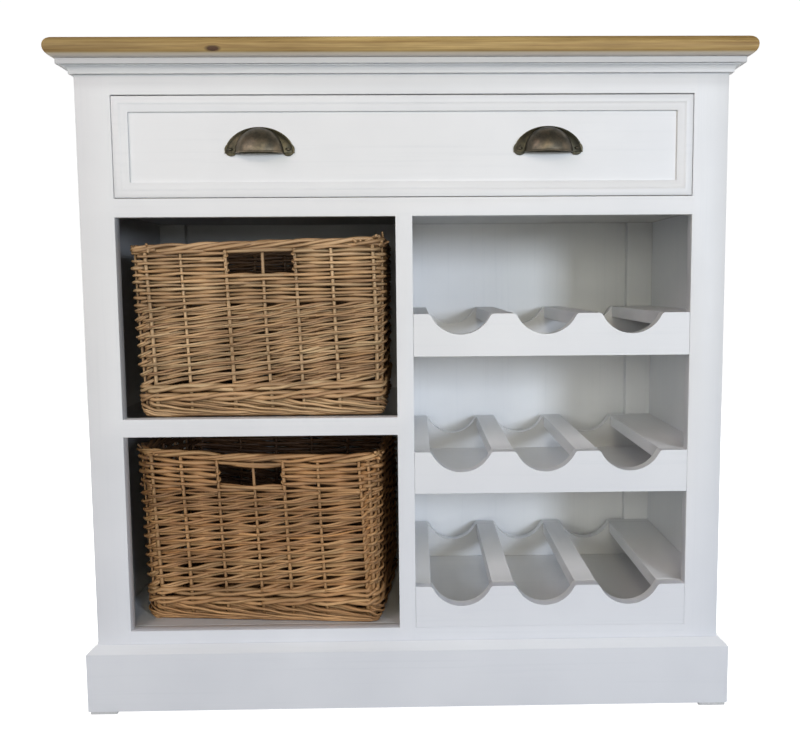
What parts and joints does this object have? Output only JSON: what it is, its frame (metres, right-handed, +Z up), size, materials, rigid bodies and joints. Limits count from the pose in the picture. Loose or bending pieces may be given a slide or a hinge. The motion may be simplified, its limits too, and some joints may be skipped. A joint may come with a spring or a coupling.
{
  "type": "chest of drawers with basket bays and a bottle rack",
  "caption": "Painted storage cabinet with a pine top: a wide drawer with cup pulls over open bays that hold wicker baskets, beside a scalloped rack for lying bottles.",
  "frame": {"origin": "on the floor, under the middle of the top board", "axes": "+X to the right as seen from the front, +Y to the back, +Z up; the drawer and the baskets pull out towards -Y"},
  "size_m": [0.9, 0.4, 0.89],
  "materials": {
    "white_paint": "satin white paint on wood",
    "waxed_pine": "waxed knotty pine, matt",
    "drawer_wood": "bare planed softwood",
    "antique_brass": "dark aged brass",
    "wicker": "woven peeled rods, dry and matt",
    "foot_pad": "pale matt pad"
  },
  "bodies": {
    "cabinet": {"top_board": "waxed_pine", "cornice_front": "white_paint", "cornice_left": "white_paint", "cornice_right": "white_paint", "stile_left": "white_paint", "stile_right": "white_paint", "rail_top": "white_paint", "rail_middle": "white_paint", "rail_bottom": "white_paint", "centre_stile": "white_paint", "side_panel_left": "white_paint", "rear_post_left": "white_paint", "side_panel_right": "white_paint", "rear_post_right": "white_paint", "back_panel": "white_paint", "drawer_deck": "white_paint", "bottom_board": "white_paint", "basket_shelf": "white_paint", "partition": "white_paint", "plinth_front": "white_paint", "plinth_left": "white_paint", "plinth_right": "white_paint", "foot_front_left": "foot_pad", "foot_rear_left": "foot_pad", "foot_front_right": "foot_pad", "foot_rear_right": "foot_pad", "rack_front_rail_1": "white_paint", "rack_rear_rail_1": "white_paint", "rack_slat_1_1": "white_paint", "rack_slat_1_2": "white_paint", "rack_slat_1_3": "white_paint", "rack_slat_1_4": "white_paint", "rack_floor_1": "white_paint", "rack_front_rail_2": "white_paint", "rack_rear_rail_2": "white_paint", "rack_slat_2_1": "white_paint", "rack_slat_2_2": "white_paint", "rack_slat_2_3": "white_paint", "rack_slat_2_4": "white_paint", "rack_floor_2": "white_paint", "rack_front_rail_3": "white_paint", "rack_rear_rail_3": "white_paint", "rack_slat_3_1": "white_paint", "rack_slat_3_2": "white_paint", "rack_slat_3_3": "white_paint", "rack_slat_3_4": "white_paint", "drawer_guide_right": "drawer_wood", "drawer_guide_left": "drawer_wood"},
    "drawer": {"drawer_side_right": "drawer_wood", "drawer_side_left": "drawer_wood", "drawer_back": "drawer_wood", "drawer_bottom": "drawer_wood", "drawer_front": "white_paint", "drawer_moulding": "white_paint", "cup_pull_left": "antique_brass", "cup_pull_right": "antique_brass"},
    "basket_upper": {"basket_upper": "wicker"},
    "basket_lower": {"basket_lower": "wicker"}
  },
  "joints": [
    {"name": "drawer_slide", "type": "slide", "parent": "cabinet", "child": "drawer", "axis": [0, -1, 0], "range_m": [0, 0.27]},
    {"name": "basket_upper_slide", "type": "slide", "parent": "cabinet", "child": "basket_upper", "axis": [0, -1, 0], "range_m": [0, 0.31]},
    {"name": "basket_lower_slide", "type": "slide", "parent": "cabinet", "child": "basket_lower", "axis": [0, -1, 0], "range_m": [0, 0.31]}
  ]
}
